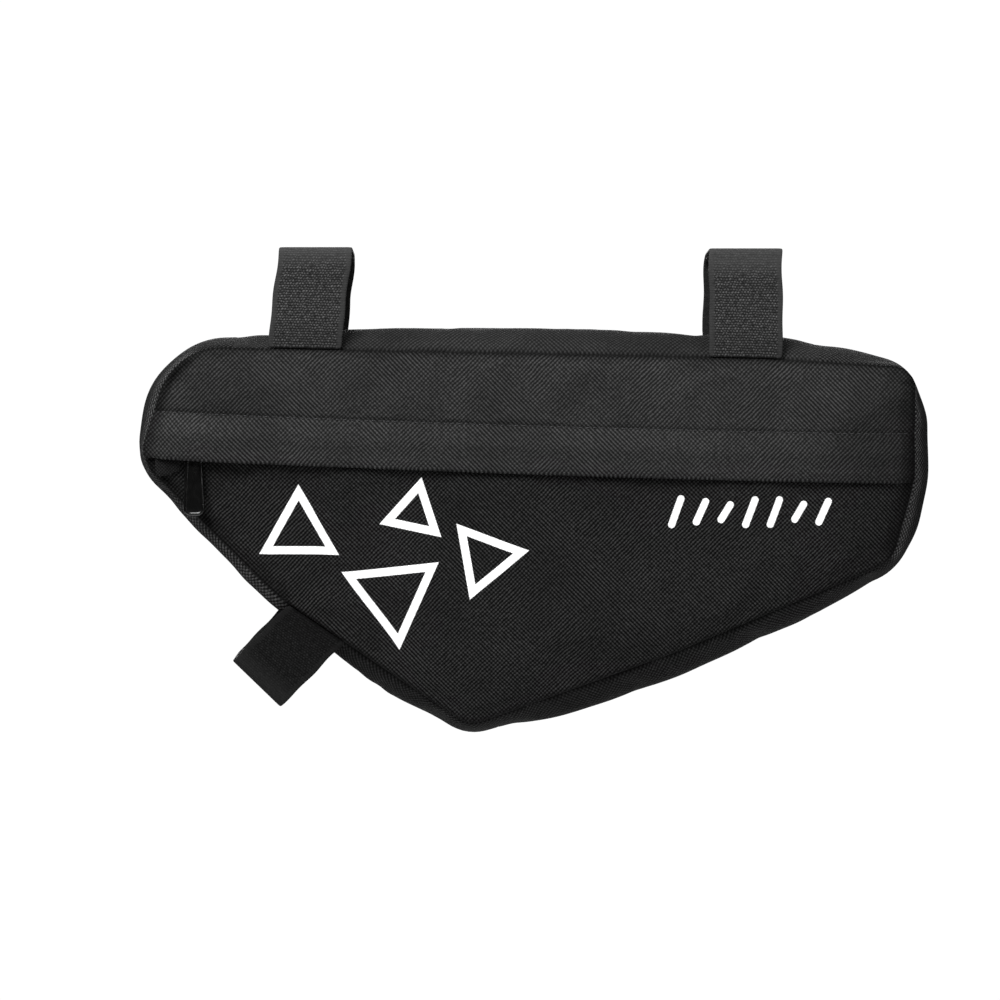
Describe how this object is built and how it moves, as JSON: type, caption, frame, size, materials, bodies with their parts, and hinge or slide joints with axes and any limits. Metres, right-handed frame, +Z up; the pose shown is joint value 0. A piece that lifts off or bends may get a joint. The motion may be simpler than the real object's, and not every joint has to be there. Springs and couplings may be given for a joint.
{
  "type": "bicycle frame bag",
  "caption": "Triangular cloth bag with a zip under a rain flap, hung inside a bicycle frame by hook-and-loop straps round the top and down tubes.",
  "frame": {"origin": "on the top tube's axis, midway between the two upper strap loops, in the bag's middle plane", "axes": "+X towards the bicycle's rear along the top tube, +Y away from the side with the zip, +Z up"},
  "size_m": [0.3403, 0.0617, 0.21],
  "materials": {
    "flap_fabric": "coarse woven polyester, charcoal, matt",
    "panel_fabric": "coarse woven polyester, near black, matt",
    "gusset_fabric": "coarse woven polyester, near black, matt",
    "hook_tape": "woven hook tape with rows of small hooks",
    "loop_tape": "napped loop tape",
    "zip_tape": "narrow woven tape",
    "zip_nylon": "satin",
    "slider_metal": "black enamel, satin",
    "pull_rubber": "smooth black, satin"
  },
  "bodies": {
    "bag": {"front_upper_flap": "flap_fabric", "front_lower": "panel_fabric", "back_panel": "panel_fabric", "gusset_top": "gusset_fabric", "gusset_rear": "gusset_fabric", "gusset_front": "gusset_fabric", "zip_tape": "zip_tape", "zip_coil": "zip_nylon", "zip_slider": "slider_metal", "zip_end_tab": "gusset_fabric", "strap_top_front_hook": "hook_tape", "strap_top_front_loop": "loop_tape", "strap_top_rear_hook": "hook_tape", "strap_top_rear_loop": "loop_tape", "strap_down_hook": "hook_tape", "strap_down_loop": "loop_tape"},
    "pull": {"zip_pull": "pull_rubber"}
  },
  "joints": [
    {"name": "pull_swing", "type": "hinge", "parent": "bag", "child": "pull", "pos_m": [-0.1399, -0.02866, -0.06293], "axis": [0, 1, 0], "range_deg": [-30, 30]}
  ]
}
